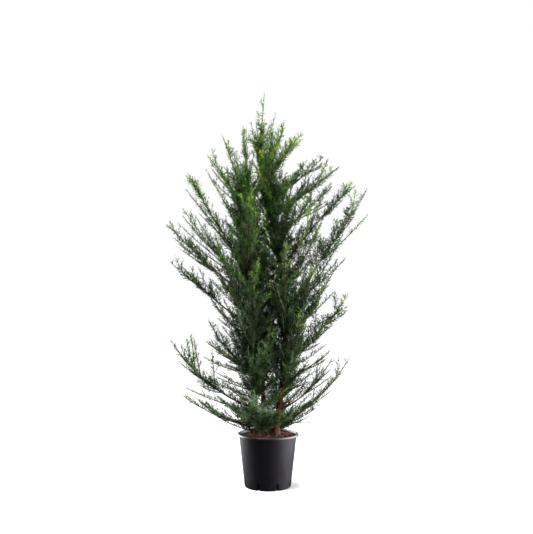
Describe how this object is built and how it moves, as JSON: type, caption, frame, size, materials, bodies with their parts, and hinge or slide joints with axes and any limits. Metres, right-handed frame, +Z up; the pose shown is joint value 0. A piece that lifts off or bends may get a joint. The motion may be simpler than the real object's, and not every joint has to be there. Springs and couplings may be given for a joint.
{
  "type": "potted yew",
  "caption": "Young evergreen yew with upright stems and rising, needle-covered boughs, growing in a round black plastic nursery pot filled with soil.",
  "frame": {"origin": "middle of the pot's flat underside", "axes": "+Z up along the pot's axis, +X to the right and -Y towards the viewer in the view from the front"},
  "size_m": [0.8407, 0.6407, 1.576],
  "materials": {
    "black_plastic": "black moulded plastic with a dull sheen",
    "soil": "rough dark potting soil with bark chips",
    "bark": "reddish brown flaking bark",
    "needles": "dark green needles, lighter at the tips"
  },
  "bodies": {
    "root": {"back_stem": "bark", "bough_high_left": "bark", "bough_high_right": "bark", "bough_low_front_left": "bark", "bough_low_front_right": "bark", "bough_low_left": "bark", "bough_low_right": "bark", "bough_mid_left": "bark", "bough_mid_right": "bark", "foliage_back_high": "needles", "foliage_back_leader": "needles", "foliage_back_low": "needles", "foliage_back_mid": "needles", "foliage_back_top": "needles", "foliage_foot_front": "needles", "foliage_foot_front_left": "needles", "foliage_foot_left": "needles", "foliage_foot_right": "needles", "foliage_front_high": "needles", "foliage_front_high_right": "needles", "foliage_front_leader": "needles", "foliage_front_low": "needles", "foliage_front_mid": "needles", "foliage_front_mid_left": "needles", "foliage_front_mid_right": "needles", "foliage_front_top": "needles", "foliage_high_left": "needles", "foliage_high_right": "needles", "foliage_leader": "needles", "foliage_left_high": "needles", "foliage_left_high_back": "needles", "foliage_left_low_back": "needles", "foliage_left_lower_mid": "needles", "foliage_left_mid": "needles", "foliage_left_top": "needles", "foliage_left_upper_mid": "needles", "foliage_low_back": "needles", "foliage_low_front": "needles", "foliage_low_front_left": "needles", "foliage_low_front_right": "needles", "foliage_low_left": "needles", "foliage_low_right": "needles", "foliage_mid_left": "needles", "foliage_mid_right": "needles", "foliage_right_back_mid": "needles", "foliage_right_front_mid": "needles", "foliage_right_high_back": "needles", "foliage_right_high_front": "needles", "foliage_right_higher": "needles", "foliage_right_highest": "needles", "foliage_right_low": "needles", "foliage_right_lower_mid": "needles", "foliage_right_mid": "needles", "foliage_right_top": "needles", "foliage_right_top_front": "needles", "foliage_right_upper_mid": "needles", "front_stem": "bark", "pot": "black_plastic", "soil": "soil", "trunk": "bark"}
  },
  "joints": []
}
